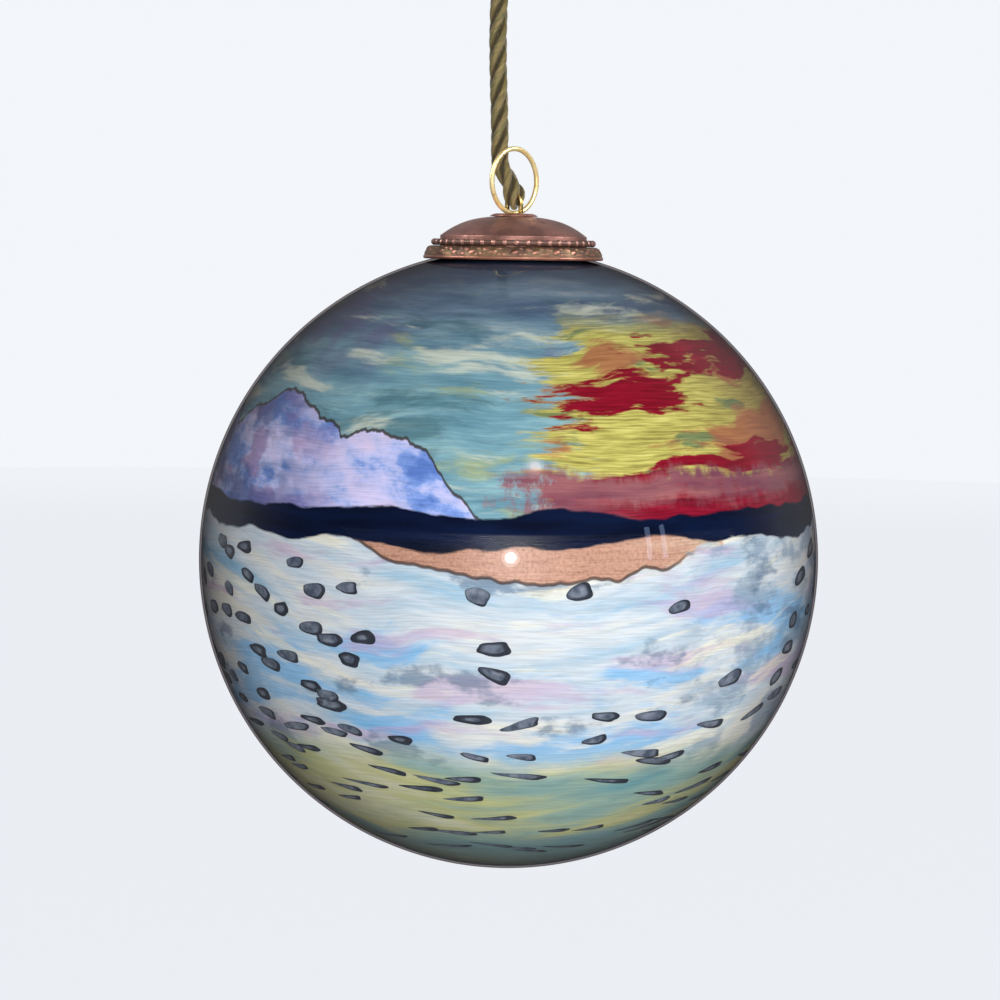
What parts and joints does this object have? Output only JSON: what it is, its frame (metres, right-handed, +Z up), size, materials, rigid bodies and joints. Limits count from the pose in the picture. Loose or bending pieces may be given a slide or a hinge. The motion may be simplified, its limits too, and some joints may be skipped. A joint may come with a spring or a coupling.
{
  "type": "glass ball ornament",
  "caption": "Hanging glass ball ornament painted on its inside with a mountain lake at sunset, with a domed beaded metal cap, a jump ring and a twisted cord loop.",
  "frame": {"origin": "top of the inside of the cord loop, where a hook or twig carries it", "axes": "+Z up through the knot, -Z runs down through the cap to the ball; -Y is the front of the picture"},
  "size_m": [0.076, 0.076, 0.155],
  "materials": {
    "clear_glass": "clear polished blown glass",
    "picture_paint": "brushed paint behind glass, many colours",
    "antique_copper": "satin antique copper with a mauve brown patina",
    "relief_copper": "stamped relief with dark olive patina and a rubbed bright rim",
    "bead_copper": "antique copper beads, dark between them",
    "raw_brass": "plain rolled brass",
    "hanger_wire": "drawn spring wire",
    "gold_plate": "bright gold plate",
    "satin_cord": "olive gold three-ply twisted satin cord"
  },
  "bodies": {
    "cord": {"cord_loop": "satin_cord"},
    "hanger": {"wire_hanger": "hanger_wire"},
    "ring": {"jump_ring": "gold_plate"},
    "cap": {"cap_dome": "antique_copper", "cap_skirt": "relief_copper", "beaded_wire": "bead_copper", "neck_ferrule": "raw_brass", "eyelet": "antique_copper"},
    "ball": {"glass_ball": "clear_glass", "painted_lining": "picture_paint"}
  },
  "joints": [
    {"name": "hanger_swing", "type": "hinge", "parent": "cord", "child": "hanger", "pos_m": [0, 0, -0.058], "axis": [0.7193, -0.6947, 0], "range_deg": [-60, 60]},
    {"name": "ring_fall", "type": "hinge", "parent": "hanger", "child": "ring", "pos_m": [0, 0, -0.0602], "axis": [0.6947, 0.7193, 0], "range_deg": [0, 50]},
    {"name": "cap_turn", "type": "hinge", "parent": "hanger", "child": "cap", "pos_m": [0, 0, -0.06025], "axis": [0, 0, 1], "continuous": true},
    {"name": "ball_pull", "type": "slide", "parent": "cap", "child": "ball", "axis": [0, 0, -1], "range_m": [0, 0.025]}
  ]
}
